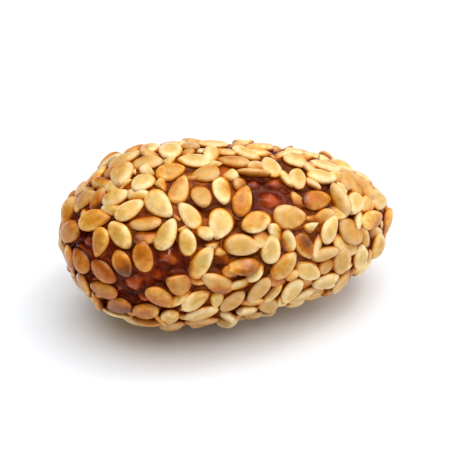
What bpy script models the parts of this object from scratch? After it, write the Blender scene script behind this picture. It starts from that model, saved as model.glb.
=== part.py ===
"""Sesame coated almond: a sugar-glazed almond with sesame seeds stuck all over it, lying on a flat spot.

Metres, +Z up. The long axis lies along X with the blunt end at -X and the tip at +X. The origin is on the
surface that the sweet lies on, below the middle of its box.
"""

import math

import bmesh
import bpy
import numpy as np
from mathutils import Matrix, Vector

MM = 0.001

# The glazed almond without its seeds
BODY_LENGTH = 26.6 * MM
BODY_WIDTH = 15.4 * MM
BODY_HEIGHT = 14.1 * MM
WIDEST_SHARE = 0.34  # of the length, from the blunt end to the widest place
BODY_CORNERS = 240
GOLDEN_TURN = math.pi * (3 - math.sqrt(5))

# Low swellings that make the body as uneven as a real one
SWELLINGS = 6
SWELLING_SHARE = 0.011
SWELLING_WAVES = (2.2, 4.2)

# Sesame seeds
SEED_COUNT = 216
SEED_LENGTH = 3.0 * MM
SEED_WIDTH = 1.86 * MM
SEED_THICKNESS = 0.86 * MM
SIZE_SPREAD = 0.075
SIZE_LIMITS = (0.8, 1.2)
SEED_POINTEDNESS = 0.55
SEED_SIDES = 7
SEED_BASE_SWELL = 1.10  # makes the outline full size where the seed comes out of the glaze
SEED_TOP_SHARE = 0.66  # the flat upper face against the lower one
SINK = 0.27 * MM  # how deep a flat seed's lower face is pressed into the glaze
STEEP_SINK = 1.4  # a seed on edge is pressed in deeper by this share

# How the seeds crowd together
RANDOM_SEED = 11
CANDIDATES = 24
CANDIDATE_SPREAD = (1.6, 1.0, 1.0)  # draws more of them towards the ends
CROWDING_STEPS = 160
CROWDING = 0.97  # under 1, neighbours overlap a little
PUSH_SHARE = 0.5  # of an overlap, taken up in each step
TURNING = 260.0  # radians of turn for each metre of overlap
TURN_LIMIT = 0.2  # radians in each step
SHINGLE_LIFT = 0.45  # of the overlap with the seed below
SHINGLE_TILT = 900.0  # radians for each metre of overlap
SHINGLE_TILT_LIMIT = math.radians(26)
STEADY_TILT = math.radians(7)
LOOSE_TILT = (math.radians(28), math.radians(68))
LOOSE_SHARE = 0.17

# Places where the glaze shows: share of the length from the blunt end, turn about X from +Z towards -Y
# in degrees, radius
BARE_PATCHES = (
    (0.035, 44, 0.7 * MM),
    (0.083, 8, 0.4 * MM),
    (0.150, 91, 1.1 * MM),
    (0.245, 67, 0.9 * MM),
    (0.362, 51, 0.5 * MM),
    (0.478, 8, 0.6 * MM),
    (0.590, 25, 1.4 * MM),
    (0.605, 93, 0.5 * MM),
    (0.860, 170, 0.7 * MM),
    (0.450, 150, 0.6 * MM),
    (0.300, 215, 1.1 * MM),
    (0.640, 262, 1.2 * MM),
    (0.520, 318, 0.7 * MM),
)

# Where the body sits in the finished sweet's frame
REST_PITCH = math.radians(3)  # its tip lies lower than its blunt end
REST_HEIGHT = 7.16 * MM  # of the body's middle above the surface that it lies on
BOX_SHIFT = (0.01 * MM, -0.14 * MM)
CUTTER_SIDE = 60 * MM

SEED_COLOUR = (0.78, 0.56, 0.26, 1.0)
SEED_ROUGHNESS = 0.42

TINY = 1e-9  # keeps a division or a direction from being by or of nothing


def unit(vectors):
    return vectors / np.linalg.norm(vectors, axis=-1, keepdims=True)


def swelling(directions):
    """Share by which the body is thicker or thinner below each unit direction."""
    rng = np.random.default_rng(RANDOM_SEED)
    lean = unit(rng.normal(size=(SWELLINGS, 3)))
    waves = rng.uniform(*SWELLING_WAVES, SWELLINGS)
    phase = rng.uniform(0, 2 * math.pi, SWELLINGS)
    return SWELLING_SHARE * np.sin(directions @ lean.T * waves + phase).sum(axis=1)


def half_lengths(x):
    """Length of the body's half, blunt or tapering, that each place from -1 to 1 along it is on."""
    return BODY_LENGTH * np.where(x < 0, WIDEST_SHARE, 1 - WIDEST_SHARE)


def body_points(directions):
    """Points of the glazed almond below unit directions from its widest place, about its middle."""
    x, y, z = directions.T
    along = half_lengths(x) * x - BODY_LENGTH * (0.5 - WIDEST_SHARE)
    swell = 1 + swelling(directions)
    return np.column_stack((along, BODY_WIDTH / 2 * y * swell, BODY_HEIGHT / 2 * z * swell))


def stretches(directions):
    """How far the body's surface moves along each axis for a unit step of direction."""
    along = half_lengths(directions[:, 0])
    sides = np.ones_like(along)
    return np.column_stack((along, BODY_WIDTH / 2 * sides, BODY_HEIGHT / 2 * sides))


def body_normals(directions):
    return unit(directions / stretches(directions))


def patch_direction(share, turn_deg):
    """Unit direction of a place, from its share of the length and its turn about the long axis."""
    ahead = share - WIDEST_SHARE
    x = ahead / (WIDEST_SHARE if ahead < 0 else 1 - WIDEST_SHARE)
    ring = math.sqrt(1 - x * x)
    turn = math.radians(turn_deg)
    return np.array((x, -ring * math.sin(turn), ring * math.cos(turn)))


def footprints(size, tilt):
    """Half length and half width that a tilted seed covers."""
    half = size / 2
    width = np.hypot(half[:, 1] * np.cos(tilt), half[:, 2] * np.sin(tilt))
    return np.column_stack((half[:, 0], width))


def foot_direction():
    """Unit direction of the place that is lowest once the body is pitched."""
    along = math.sin(REST_PITCH) * BODY_LENGTH * (1 - WIDEST_SHARE)
    down = math.cos(REST_PITCH) * BODY_HEIGHT / 2
    return unit(np.array((along, 0.0, -down)))


def in_plane(ways, heading, side):
    """The ways from each seed as parts along its length and across it, of unit length in its own plane."""
    along = (ways * heading[:, None]).sum(2)
    across = (ways * side[:, None]).sum(2)
    flat = np.hypot(along, across) + TINY
    return along / flat, across / flat


def reach(foot, along, across):
    """Distance from a seed's middle to its outline, towards a way in its own plane."""
    return 1 / np.hypot(along / foot[:, :1] + TINY, across / foot[:, 1:])


def crowd(directions, heading, foot):
    """Pushes and turns the seeds until they lie close together. The first one keeps its place."""
    patches = np.array([patch_direction(share, turn) for share, turn, _ in BARE_PATCHES])
    patch_points = body_points(patches)
    patch_radius = np.array([radius for _, _, radius in BARE_PATCHES])
    for _ in range(CROWDING_STEPS):
        points = body_points(directions)
        normals = body_normals(directions)
        heading = unit(heading - (heading * normals).sum(1, keepdims=True) * normals)
        side = np.cross(normals, heading)
        apart = points[None, :] - points[:, None]
        far = np.linalg.norm(apart, axis=2) + TINY
        way = apart / far[..., None]
        along, across = in_plane(way, heading, side)
        mine = reach(foot, along, across)
        overlap = np.maximum((mine + mine.T) * CROWDING - far, 0)
        np.fill_diagonal(overlap, 0)
        push = -(overlap[..., None] * way).sum(1) / 2
        turn = -(overlap * 2 * along * across).sum(1) * TURNING
        from_patch = points[:, None] - patch_points[None, :]
        clear = np.linalg.norm(from_patch, axis=2) + TINY
        ahead = from_patch / clear[..., None]
        own = reach(foot, *in_plane(ahead, heading, side))
        inside = np.maximum(patch_radius + own - clear, 0)
        push += (inside[..., None] * ahead).sum(1)
        push[0] = 0
        directions = unit(directions + PUSH_SHARE * push / stretches(directions))
        heading = heading + np.clip(turn, -TURN_LIMIT, TURN_LIMIT)[:, None] * side
    return directions, heading, overlap, way


def lay_seeds():
    """Places every seed: its middle, its axes as the columns of a matrix, and its size."""
    rng = np.random.default_rng(RANDOM_SEED)
    chosen = [foot_direction()]
    while len(chosen) < SEED_COUNT:
        tries = unit(rng.normal(size=(CANDIDATES, 3)) * CANDIDATE_SPREAD)
        gaps = body_points(tries)[:, None] - body_points(np.array(chosen))[None, :]
        chosen.append(tries[np.linalg.norm(gaps, axis=2).min(1).argmax()])
    directions = np.array(chosen)
    heading = rng.normal(size=(SEED_COUNT, 3))
    heading[0] = (1.0, 0.0, 0.0)
    spread = np.clip(rng.normal(1, SIZE_SPREAD, (SEED_COUNT, 3)), *SIZE_LIMITS)
    size = spread * (SEED_LENGTH, SEED_WIDTH, SEED_THICKNESS)
    loose = rng.random(SEED_COUNT) < LOOSE_SHARE
    tilt = np.where(
        loose,
        rng.uniform(*LOOSE_TILT, SEED_COUNT) * rng.choice((-1, 1), SEED_COUNT),
        rng.normal(0, STEADY_TILT, SEED_COUNT),
    )
    pitch = rng.normal(0, STEADY_TILT, SEED_COUNT)
    tilt[0] = pitch[0] = 0
    foot = footprints(size, tilt)
    directions, heading, overlap, way = crowd(directions, heading, foot)

    points = body_points(directions)
    normals = body_normals(directions)
    heading = unit(heading - (heading * normals).sum(1, keepdims=True) * normals)
    side = np.cross(normals, heading)
    # A seed laid later rides up on the ones before it, like a shingle.
    earlier = np.tril(overlap)
    lean = (earlier[..., None] * way).sum(1)
    lean -= (lean * normals).sum(1, keepdims=True) * normals
    shingle = np.linalg.norm(lean, axis=1)
    steep = np.abs(tilt)
    high = np.hypot(size[:, 2] / 2 * np.cos(steep), size[:, 1] / 2 * np.sin(steep))
    sunk = SINK * (1 + STEEP_SINK * np.sin(steep))
    middles = points + normals * (high - sunk + SHINGLE_LIFT * earlier.max(1))[:, None]

    frames = []
    for i in range(SEED_COUNT):
        axes = Matrix((heading[i], side[i], normals[i])).transposed()
        turned = Matrix.Rotation(tilt[i], 3, "X") @ Matrix.Rotation(pitch[i], 3, "Y")
        ride = min(shingle[i] * SHINGLE_TILT, SHINGLE_TILT_LIMIT)
        hinge = Vector(lean[i]).cross(Vector(normals[i]))
        up = Matrix.Rotation(ride, 3, hinge) if hinge.length > TINY else Matrix.Identity(3)
        frames.append(up @ axes @ turned)
    return middles, frames, size


def seed_outline(angle):
    """Point of a seed's drop-shaped outline, from -1 to 1 each way. The pointed end is at angle 0."""
    power = SEED_POINTEDNESS + 1
    widest = 2 * math.sqrt(power**power / (power + 1) ** (power + 1))
    return math.cos(angle), math.sin(angle) * abs(math.sin(angle / 2)) ** SEED_POINTEDNESS / widest


def seed_mesh(size):
    """A drop-shaped seed whose sides draw in from its lower face, in the glaze, to its flat upper face."""
    mesh = bmesh.new()
    bmesh.ops.create_circle(mesh, segments=SEED_SIDES, radius=1)
    for i, corner in enumerate(mesh.verts):
        x, y = seed_outline(2 * math.pi * i / SEED_SIDES)
        corner.co = Vector((x * SEED_BASE_SWELL, y * SEED_BASE_SWELL, -1)) / 2
    grown = bmesh.ops.extrude_edge_only(mesh, edges=mesh.edges[:])["geom"]
    top = [element for element in grown if isinstance(element, bmesh.types.BMVert)]
    bmesh.ops.scale(mesh, vec=(SEED_TOP_SHARE, SEED_TOP_SHARE, 1), verts=top)
    bmesh.ops.translate(mesh, vec=(0, 0, 1), verts=top)
    bmesh.ops.holes_fill(mesh, edges=mesh.edges)
    bmesh.ops.recalc_face_normals(mesh, faces=mesh.faces)
    bmesh.ops.scale(mesh, vec=size, verts=mesh.verts)
    return mesh


def finish_mesh(mesh, name):
    """Turns a bmesh into an object at the origin."""
    data = bpy.data.meshes.new(name)
    mesh.to_mesh(data)
    mesh.free()
    return bpy.data.objects.new(name, data)


def apply_boolean(target, operation, tool=None, collection=None):
    """Joins or cuts target for good."""
    boolean = target.modifiers.new("Shape", "BOOLEAN")
    boolean.operation = operation
    boolean.solver = "EXACT"
    if collection:
        boolean.operand_type = "COLLECTION"
        boolean.collection = collection
    else:
        boolean.object = tool
    graph = bpy.context.evaluated_depsgraph_get()
    made = bpy.data.meshes.new_from_object(target.evaluated_get(graph))
    target.modifiers.clear()
    target.data = made


def keep_outer_shell(target):
    """Fills sealed hollows and drops loose scraps, by keeping only the largest shell."""
    mesh = bmesh.new()
    mesh.from_mesh(target.data)
    left = set(mesh.verts)
    shells = []
    while left:
        found = {left.pop()}
        edge = list(found)
        while edge:
            vert = edge.pop()
            near = {e.other_vert(vert) for e in vert.link_edges} & left
            left -= near
            found |= near
            edge.extend(near)
        shells.append(found)
    shells.sort(key=len)
    scraps = [v for shell in shells[:-1] for v in shell]
    bmesh.ops.delete(mesh, geom=scraps, context="VERTS")
    mesh.to_mesh(target.data)
    mesh.free()


def seed_material():
    material = bpy.data.materials.new("sesame_coat")
    material.use_nodes = True
    shader = material.node_tree.nodes["Principled BSDF"]
    shader.inputs["Base Color"].default_value = SEED_COLOUR
    shader.inputs["Roughness"].default_value = SEED_ROUGHNESS
    shader.inputs["Metallic"].default_value = 0.0
    return material


def build_body():
    """The glazed almond, from evenly spread points of a sphere drawn out into an almond's form."""
    steps = np.arange(BODY_CORNERS)
    x = 1 - (2 * steps + 1) / BODY_CORNERS
    ring = np.sqrt(1 - x**2)
    turn = GOLDEN_TURN * steps
    directions = np.column_stack((x, ring * np.cos(turn), ring * np.sin(turn)))
    mesh = bmesh.new()
    for direction in directions:
        mesh.verts.new(direction)
    bmesh.ops.convex_hull(mesh, input=mesh.verts)
    for vert, point in zip(mesh.verts, body_points(directions)):
        vert.co = point
    bmesh.ops.recalc_face_normals(mesh, faces=mesh.faces)
    return finish_mesh(mesh, "sesame_almond")


def build_seeds(collection):
    """One mesh for each seed, in its place on the body."""
    middles, frames, size = lay_seeds()
    for middle, frame, extent in zip(middles, frames, size):
        mesh = seed_mesh(extent)
        place = Matrix.Translation(middle) @ frame.to_4x4()
        bmesh.ops.transform(mesh, matrix=place, verts=mesh.verts)
        collection.objects.link(finish_mesh(mesh, "seed"))


def build_cutter(scene):
    """The space under the surface that the sweet lies on."""
    mesh = bmesh.new()
    bmesh.ops.create_cube(mesh, size=CUTTER_SIDE)
    bmesh.ops.translate(mesh, vec=(0, 0, -CUTTER_SIDE / 2), verts=mesh.verts)
    cutter = finish_mesh(mesh, "rest_cutter")
    scene.collection.objects.link(cutter)
    return cutter


def main():
    for obj in list(bpy.data.objects):
        bpy.data.objects.remove(obj)
    scene = bpy.context.scene
    almond = build_body()
    scene.collection.objects.link(almond)
    seeds = bpy.data.collections.new("seeds")
    scene.collection.children.link(seeds)
    build_seeds(seeds)
    apply_boolean(almond, "UNION", collection=seeds)
    for seed in list(seeds.objects):
        bpy.data.objects.remove(seed)
    bpy.data.collections.remove(seeds)

    almond.data.transform(Matrix.Rotation(REST_PITCH, 4, "Y"))
    almond.data.transform(Matrix.Translation((*BOX_SHIFT, REST_HEIGHT)))
    cutter = build_cutter(scene)
    apply_boolean(almond, "DIFFERENCE", tool=cutter)
    bpy.data.objects.remove(cutter)
    keep_outer_shell(almond)
    almond.data.materials.clear()
    almond.data.materials.append(seed_material())


main()
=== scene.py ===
"""Dresses the sesame coated almond: its dark caramel glaze, every sesame seed set in it, and a pale studio.

Metres, +Z up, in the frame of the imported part. The seeds lie by the same rule, sizes and order of random
draws as the solid's own seeds, so each fine seed lies where the plain one does.
"""

import logging
import math
from dataclasses import dataclass, field
from enum import Enum

import bmesh
import bpy
import numpy as np
from bmesh.types import BMEdge, BMesh
from mathutils import Matrix, Vector, noise
from numpy.typing import NDArray


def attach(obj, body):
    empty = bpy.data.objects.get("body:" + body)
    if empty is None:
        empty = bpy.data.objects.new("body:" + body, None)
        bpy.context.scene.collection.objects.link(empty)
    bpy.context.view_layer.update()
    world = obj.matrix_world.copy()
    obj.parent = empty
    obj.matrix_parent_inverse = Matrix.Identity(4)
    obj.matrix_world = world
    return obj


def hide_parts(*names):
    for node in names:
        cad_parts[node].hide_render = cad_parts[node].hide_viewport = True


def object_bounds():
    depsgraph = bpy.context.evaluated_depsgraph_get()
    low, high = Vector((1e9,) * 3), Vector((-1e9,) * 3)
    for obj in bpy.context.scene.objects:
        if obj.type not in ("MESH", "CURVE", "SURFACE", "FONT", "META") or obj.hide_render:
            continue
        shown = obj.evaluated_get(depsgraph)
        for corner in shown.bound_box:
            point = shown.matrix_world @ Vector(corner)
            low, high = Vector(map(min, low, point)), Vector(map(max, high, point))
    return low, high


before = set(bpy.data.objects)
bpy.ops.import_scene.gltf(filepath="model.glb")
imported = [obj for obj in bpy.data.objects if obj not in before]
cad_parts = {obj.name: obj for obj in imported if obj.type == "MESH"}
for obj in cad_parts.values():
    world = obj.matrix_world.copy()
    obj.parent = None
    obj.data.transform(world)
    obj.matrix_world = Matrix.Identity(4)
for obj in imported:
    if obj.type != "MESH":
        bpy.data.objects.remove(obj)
CAD_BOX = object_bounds()

MM = 0.001
TINY = 1e-9  # keeps a division or a direction from being by or of nothing
ALMOND_NODE = "sesame_almond"
BODY = "root"
BAKE_MAP = "OFBake"

Array = NDArray[np.float64]
Colour = tuple[float, float, float, float]
Ramp = tuple[float, float, tuple[float, float]]  # two readings, and the results at them
Socket = bpy.types.NodeSocket
Given = Socket | float | Colour  # what an input takes: a link, or its value

log = logging.getLogger("sesame_almond")


def unit(vectors: Array) -> Array:
    """Vectors drawn to unit length."""
    return vectors / np.linalg.norm(vectors, axis=-1, keepdims=True)


def smooth_step(values: Array, low: float, high: float) -> Array:
    """0 up to low, 1 from high on, and a smooth rise between them."""
    share = np.clip((values - low) / (high - low), 0, 1)
    return share * share * (3 - 2 * share)


def colour(code: str) -> Colour:
    """Turns a screen colour linear, by the standard curve of screens.

    Args:
        code: Red, green and blue in two hexadecimal digits each, such as "d9b468".

    Returns:
        The linear colour, opaque.
    """
    screen = [int(code[i : i + 2], 16) / 255 for i in (0, 2, 4)]
    red, green, blue = (c / 12.92 if c <= 0.04045 else ((c + 0.055) / 1.055) ** 2.4 for c in screen)
    return (red, green, blue, 1.0)


# ---------------------------------------------------------------------------------------------------------
# Form
# ---------------------------------------------------------------------------------------------------------


@dataclass(frozen=True)
class AlmondForm:
    """The glazed almond without its seeds, and how it lies.

    A place on it is named by a unit direction from the middle of its widest section. Its own axes have
    their origin half way along it, with the tip at +X.
    """

    length: float = 26.6 * MM
    width: float = 15.4 * MM
    height: float = 14.1 * MM
    widest_share: float = 0.34
    swellings: int = 6
    swelling_share: float = 0.011
    swelling_waves: tuple[float, float] = (2.2, 4.2)
    random_seed: int = 11
    rest_pitch: float = math.radians(3)
    rest_height: float = 7.16 * MM
    box_shift: tuple[float, float] = (0.01 * MM, -0.14 * MM)

    def swelling(self, directions: Array) -> Array:
        """Draws the body's slow swellings and hollows.

        Args:
            directions: Unit directions.

        Returns:
            The share by which the body is thicker below each.
        """
        rng = np.random.default_rng(self.random_seed)
        lean = unit(rng.normal(size=(self.swellings, 3)))
        waves = rng.uniform(*self.swelling_waves, self.swellings)
        phase = rng.uniform(0, 2 * math.pi, self.swellings)
        return self.swelling_share * np.sin(directions @ lean.T * waves + phase).sum(axis=1)

    def half_lengths(self, x: Array) -> Array:
        """Length of the half, blunt or tapering, that each place along the body is on."""
        return self.length * np.where(x < 0, self.widest_share, 1 - self.widest_share)

    def widest_x(self) -> float:
        """Where the widest section stands along the body."""
        return self.length * (self.widest_share - 0.5)

    def points(self, directions: Array) -> Array:
        """Finds points of the surface.

        Args:
            directions: Unit directions.

        Returns:
            The point below each.
        """
        x, y, z = directions.T
        along = self.half_lengths(x) * x + self.widest_x()
        swell = 1 + self.swelling(directions)
        return np.column_stack((along, self.width / 2 * y * swell, self.height / 2 * z * swell))

    def stretches(self, directions: Array) -> Array:
        """Finds how far the surface moves for a unit step of direction.

        Args:
            directions: Directions, of any length.

        Returns:
            The distance along each axis at each direction.
        """
        along = self.half_lengths(directions[:, 0])
        sides = np.ones_like(along)
        return np.column_stack((along, self.width / 2 * sides, self.height / 2 * sides))

    def normals(self, directions: Array) -> Array:
        """Outward normals below unit directions."""
        return unit(directions / self.stretches(directions))

    def heights(self, points: Array) -> Array:
        """Measures how far points stand above the surface.

        Args:
            points: Points of space, in the body's own axes.

        Returns:
            The height of each.
        """
        across = points - (self.widest_x(), 0.0, 0.0)
        directions = unit(across / self.stretches(across))
        return ((points - self.points(directions)) * self.normals(directions)).sum(axis=1)

    def foot_direction(self) -> Array:
        """Finds the place that is lowest once the body is pitched.

        Returns:
            Its direction.
        """
        along = math.sin(self.rest_pitch) * self.length * (1 - self.widest_share)
        down = math.cos(self.rest_pitch) * self.height / 2
        return unit(np.array((along, 0.0, -down)))

    def patch_direction(self, share: float, turn_deg: float) -> Array:
        """Finds a place by how far along the body and how far round it is.

        Args:
            share: Share of the length from the blunt end.
            turn_deg: Turn about X from +Z towards -Y.

        Returns:
            Its direction.
        """
        ahead = share - self.widest_share
        x = ahead / (self.widest_share if ahead < 0 else 1 - self.widest_share)
        ring = math.sqrt(1 - x * x)
        turn = math.radians(turn_deg)
        return np.array((x, -ring * math.sin(turn), ring * math.cos(turn)))

    def rest_matrix(self) -> Matrix:
        """Takes the body's own axes to the part's frame."""
        moved = Matrix.Translation((*self.box_shift, self.rest_height))
        return moved @ Matrix.Rotation(self.rest_pitch, 4, "Y")


@dataclass(frozen=True)
class LaidSeed:
    """One seed in its place on the body: its middle, its axes as a matrix's columns, and its size."""

    middle: Array
    axes: Matrix
    size: Array


@dataclass(frozen=True)
class SeedLayout:
    """Crowds the seeds over the body, clear of the places where the glaze shows.

    A bare patch is a share of the length from the blunt end, a turn about X from +Z towards -Y in
    degrees, and a radius.
    """

    form: AlmondForm
    count: int = 216
    length: float = 3.0 * MM
    width: float = 1.86 * MM
    thickness: float = 0.86 * MM
    size_spread: float = 0.075
    size_limits: tuple[float, float] = (0.8, 1.2)
    sink: float = 0.27 * MM
    steep_sink: float = 1.4
    random_seed: int = 11
    candidates: int = 24
    candidate_spread: tuple[float, float, float] = (1.6, 1.0, 1.0)
    crowding_steps: int = 160
    crowding: float = 0.97
    push_share: float = 0.5
    turning: float = 260.0
    turn_limit: float = 0.2
    shingle_lift: float = 0.45
    shingle_tilt: float = 900.0
    shingle_tilt_limit: float = math.radians(26)
    steady_tilt: float = math.radians(7)
    loose_tilt: tuple[float, float] = (math.radians(28), math.radians(68))
    loose_share: float = 0.17
    bare_patches: tuple[tuple[float, float, float], ...] = (
        (0.035, 44, 0.7 * MM),
        (0.083, 8, 0.4 * MM),
        (0.150, 91, 1.1 * MM),
        (0.245, 67, 0.9 * MM),
        (0.362, 51, 0.5 * MM),
        (0.478, 8, 0.6 * MM),
        (0.590, 25, 1.4 * MM),
        (0.605, 93, 0.5 * MM),
        (0.860, 170, 0.7 * MM),
        (0.450, 150, 0.6 * MM),
        (0.300, 215, 1.1 * MM),
        (0.640, 262, 1.2 * MM),
        (0.520, 318, 0.7 * MM),
    )

    @staticmethod
    def footprints(size: Array, tilt: Array) -> Array:
        """Measures what the tilted seeds cover.

        Args:
            size: Length, width and thickness of each seed.
            tilt: How far each is rolled about its length.

        Returns:
            Half length and half width of each.
        """
        half = size / 2
        width = np.hypot(half[:, 1] * np.cos(tilt), half[:, 2] * np.sin(tilt))
        return np.column_stack((half[:, 0], width))

    @staticmethod
    def in_plane(ways: Array, heading: Array, side: Array) -> tuple[Array, Array]:
        """Splits ways from each seed into parts along and across it.

        Args:
            ways: Some ways from each seed.
            heading: The way each seed points.
            side: The way across each.

        Returns:
            The parts along and across, of unit length together.
        """
        along = (ways * heading[:, None]).sum(2)
        across = (ways * side[:, None]).sum(2)
        flat = np.hypot(along, across) + TINY
        return along / flat, across / flat

    @staticmethod
    def reach(foot: Array, along: Array, across: Array) -> Array:
        """Distance from a seed's middle to its outline, towards a way in its own plane."""
        return 1 / np.hypot(along / foot[:, :1] + TINY, across / foot[:, 1:])

    def crowd(self, directions: Array, heading: Array, foot: Array) -> tuple[Array, Array, Array, Array]:
        """Pushes and turns the seeds until they lie close together. The first one keeps its place.

        Args:
            directions: Where each seed starts.
            heading: The way each seed points.
            foot: Half length and half width of each footprint.

        Returns:
            The directions and headings reached, how far each pair overlaps, and the ways between them.
        """
        patches = [self.form.patch_direction(share, turn) for share, turn, _ in self.bare_patches]
        patch_points = self.form.points(np.array(patches))
        patch_radius = np.array([radius for _, _, radius in self.bare_patches])
        for _ in range(self.crowding_steps):
            points = self.form.points(directions)
            normals = self.form.normals(directions)
            heading = unit(heading - (heading * normals).sum(1, keepdims=True) * normals)
            side = np.cross(normals, heading)
            apart = points[None, :] - points[:, None]
            far = np.linalg.norm(apart, axis=2) + TINY
            way = apart / far[..., None]
            along, across = self.in_plane(way, heading, side)
            mine = self.reach(foot, along, across)
            overlap = np.maximum((mine + mine.T) * self.crowding - far, 0)
            np.fill_diagonal(overlap, 0)
            push = -(overlap[..., None] * way).sum(1) / 2
            turn = -(overlap * 2 * along * across).sum(1) * self.turning
            from_patch = points[:, None] - patch_points[None, :]
            clear = np.linalg.norm(from_patch, axis=2) + TINY
            ahead = from_patch / clear[..., None]
            own = self.reach(foot, *self.in_plane(ahead, heading, side))
            inside = np.maximum(patch_radius + own - clear, 0)
            push += (inside[..., None] * ahead).sum(1)
            push[0] = 0
            step = self.push_share * push / self.form.stretches(directions)
            directions = unit(directions + step)
            heading = heading + np.clip(turn, -self.turn_limit, self.turn_limit)[:, None] * side
        return directions, heading, overlap, way

    def lay(self) -> list[LaidSeed]:
        """Places every seed on the body.

        Returns:
            The seeds. The first one is the lowest.
        """
        rng = np.random.default_rng(self.random_seed)
        chosen = [self.form.foot_direction()]
        while len(chosen) < self.count:
            tries = unit(rng.normal(size=(self.candidates, 3)) * self.candidate_spread)
            gaps = self.form.points(tries)[:, None] - self.form.points(np.array(chosen))[None, :]
            chosen.append(tries[np.linalg.norm(gaps, axis=2).min(1).argmax()])
        directions = np.array(chosen)
        heading = rng.normal(size=(self.count, 3))
        heading[0] = (1.0, 0.0, 0.0)
        spread = np.clip(rng.normal(1, self.size_spread, (self.count, 3)), *self.size_limits)
        size = spread * (self.length, self.width, self.thickness)
        loose = rng.random(self.count) < self.loose_share
        tilt = np.where(
            loose,
            rng.uniform(*self.loose_tilt, self.count) * rng.choice((-1, 1), self.count),
            rng.normal(0, self.steady_tilt, self.count),
        )
        pitch = rng.normal(0, self.steady_tilt, self.count)
        tilt[0] = pitch[0] = 0
        foot = self.footprints(size, tilt)
        directions, heading, overlap, way = self.crowd(directions, heading, foot)

        points = self.form.points(directions)
        normals = self.form.normals(directions)
        heading = unit(heading - (heading * normals).sum(1, keepdims=True) * normals)
        side = np.cross(normals, heading)
        # A seed laid later rides up on the ones before it, like a shingle.
        earlier = np.tril(overlap)
        lean = (earlier[..., None] * way).sum(1)
        lean -= (lean * normals).sum(1, keepdims=True) * normals
        shingle = np.linalg.norm(lean, axis=1)
        steep = np.abs(tilt)
        high = np.hypot(size[:, 2] / 2 * np.cos(steep), size[:, 1] / 2 * np.sin(steep))
        sunk = self.sink * (1 + self.steep_sink * np.sin(steep))
        lift = high - sunk + self.shingle_lift * earlier.max(1)
        middles = points + normals * lift[:, None]

        seeds = []
        for i in range(self.count):
            axes = Matrix((heading[i], side[i], normals[i])).transposed()
            turned = Matrix.Rotation(tilt[i], 3, "X") @ Matrix.Rotation(pitch[i], 3, "Y")
            ride = min(shingle[i] * self.shingle_tilt, self.shingle_tilt_limit)
            hinge = Vector(lean[i]).cross(Vector(normals[i]))
            up = Matrix.Rotation(ride, 3, hinge) if hinge.length > TINY else Matrix.Identity(3)
            seeds.append(LaidSeed(middles[i], up @ axes @ turned, size[i]))
        return seeds


# ---------------------------------------------------------------------------------------------------------
# Nodes and finishes
# ---------------------------------------------------------------------------------------------------------


class Blend(Enum):
    """How one colour goes over another."""

    COVER = "MIX"
    TINT = "MULTIPLY"


class Sum(Enum):
    """What is done with two numbers."""

    ADD = "ADD"
    TAKE = "SUBTRACT"
    TIMES = "MULTIPLY"


class Layer(Enum):
    """Values that the corners of a piece carry for its finish."""

    GLAZE_DEPTH = "glaze_depth"
    GLAZE_THIN = "glaze_thin"
    GLAZE_DROP = "glaze_drop"
    SEED_EDGE = "seed_edge"
    SEED_ALONG = "seed_along"
    SEED_TONE = "seed_tone"


class NodeSheet:
    """A node tree that grows node by node."""

    def __init__(self, tree: bpy.types.NodeTree) -> None:
        """Takes the tree that the nodes go on."""
        self.tree = tree

    def feed(self, node: bpy.types.Node, inputs: dict[str | int, Given]) -> None:
        """Links or sets inputs of a node.

        Args:
            node: The node.
            inputs: A socket to link from, or a value, for each input.
        """
        for name, value in inputs.items():
            if isinstance(value, Socket):
                self.tree.links.new(value, node.inputs[name])
            else:
                node.inputs[name].default_value = value

    def add(self, kind: str, inputs: dict[str | int, Given], **settings: object) -> bpy.types.Node:
        """Adds a node.

        Args:
            kind: Blender's name for the node.
            inputs: A socket to link from, or a value, for each input.
            **settings: Other properties of the node.

        Returns:
            The node.
        """
        node = self.tree.nodes.new(kind)
        for name, value in settings.items():
            setattr(node, name, value)
        self.feed(node, inputs)
        return node

    def mix(self, share: Given, low: Given, high: Given, blend: Blend = Blend.COVER) -> Socket:
        """Colour between low and high, or high laid over low."""
        # The node's inputs 6 and 7 and its output 2 are colours.
        inputs = {0: share, 6: low, 7: high}
        return self.add("ShaderNodeMix", inputs, data_type="RGBA", blend_type=blend.value).outputs[2]

    def math(self, operation: Sum, first: Given, second: Given) -> Socket:
        """What an operation makes of two numbers."""
        return self.add("ShaderNodeMath", {0: first, 1: second}, operation=operation.value).outputs[0]

    def rise(self, value: Given, low: Given, high: Given, to: tuple[float, float] = (0, 1)) -> Socket:
        """Smooth rise of a number from to[0] at low to to[1] at high."""
        inputs = {"Value": value, "From Min": low, "From Max": high, "To Min": to[0], "To Max": to[1]}
        return self.add("ShaderNodeMapRange", inputs, interpolation_type="SMOOTHSTEP").outputs["Result"]

    def attribute(self, layer: Layer) -> Socket:
        """A value that the piece's own corners carry."""
        return self.add("ShaderNodeAttribute", {}, attribute_name=layer.value).outputs["Fac"]

    def group(self, tree: bpy.types.NodeTree, inputs: dict[str | int, Given]) -> bpy.types.Node:
        """Places a shared effect with its own values."""
        return self.add("ShaderNodeGroup", inputs, node_tree=tree)


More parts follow.
